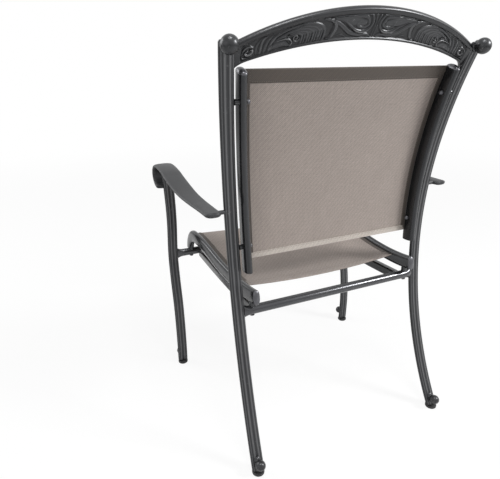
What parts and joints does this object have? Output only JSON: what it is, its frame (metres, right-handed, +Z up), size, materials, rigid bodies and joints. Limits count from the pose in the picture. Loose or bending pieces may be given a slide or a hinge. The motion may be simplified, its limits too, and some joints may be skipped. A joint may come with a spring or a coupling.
{
  "type": "sling patio chair",
  "caption": "Outdoor dining armchair: dark cast frame with curved fluted posts, scrolled arms, arched leaf-relief crest, and mesh slings for seat and back.",
  "frame": {"origin": "on the floor, under the middle of the chair's bounding box", "axes": "+Z up, -Y the way the sitter faces, +X the sitter's left"},
  "size_m": [0.6686, 0.5754, 0.9793],
  "materials": {
    "frame_coat": "dark pewter powder coat, semi-gloss, slightly uneven as cast",
    "fittings": "plugs, bolts and nuts coated dark pewter, glossier than the frame",
    "sling_mesh": "taupe vinyl-coated polyester mesh, open plain weave, sewn hems",
    "black_plastic": "black nylon, matte"
  },
  "bodies": {
    "root": {"crest_rail": "frame_coat", "rear_crossbar": "frame_coat", "front_crossbar": "frame_coat", "back_post_left": "frame_coat", "back_post_right": "frame_coat", "front_leg_left": "frame_coat", "front_leg_right": "frame_coat", "arm_left": "frame_coat", "arm_right": "frame_coat", "side_stretcher_left": "frame_coat", "side_stretcher_right": "frame_coat", "seat_rail_left": "frame_coat", "seat_rail_right": "frame_coat", "seat_rail_spacer_left": "frame_coat", "seat_rail_spacer_right": "frame_coat", "back_rail_left": "frame_coat", "back_rail_right": "frame_coat", "low_back_collar_left": "frame_coat", "low_back_collar_right": "frame_coat", "high_back_collar_left": "frame_coat", "high_back_collar_right": "frame_coat", "seat_rail_plug_left": "fittings", "seat_rail_plug_right": "fittings", "seat_rail_insert_left": "fittings", "seat_rail_insert_right": "fittings", "seat_rail_nut_left": "fittings", "seat_rail_nut_right": "fittings", "rear_seat_bolt_left": "fittings", "rear_seat_bolt_right": "fittings", "front_seat_bolt_left": "fittings", "front_seat_bolt_right": "fittings", "back_rail_dome_plug_left": "fittings", "back_rail_dome_plug_right": "fittings", "low_back_stud_left": "fittings", "low_back_stud_right": "fittings", "low_back_nut_left": "fittings", "low_back_nut_right": "fittings", "high_back_stud_left": "fittings", "high_back_stud_right": "fittings", "high_back_nut_left": "fittings", "high_back_nut_right": "fittings", "back_rail_foot_plug_left": "black_plastic", "back_rail_foot_plug_right": "black_plastic", "rear_glide_left": "black_plastic", "rear_glide_right": "black_plastic", "front_glide_left": "black_plastic", "front_glide_right": "black_plastic", "seat_sling": "sling_mesh", "back_sling": "sling_mesh"}
  },
  "joints": []
}
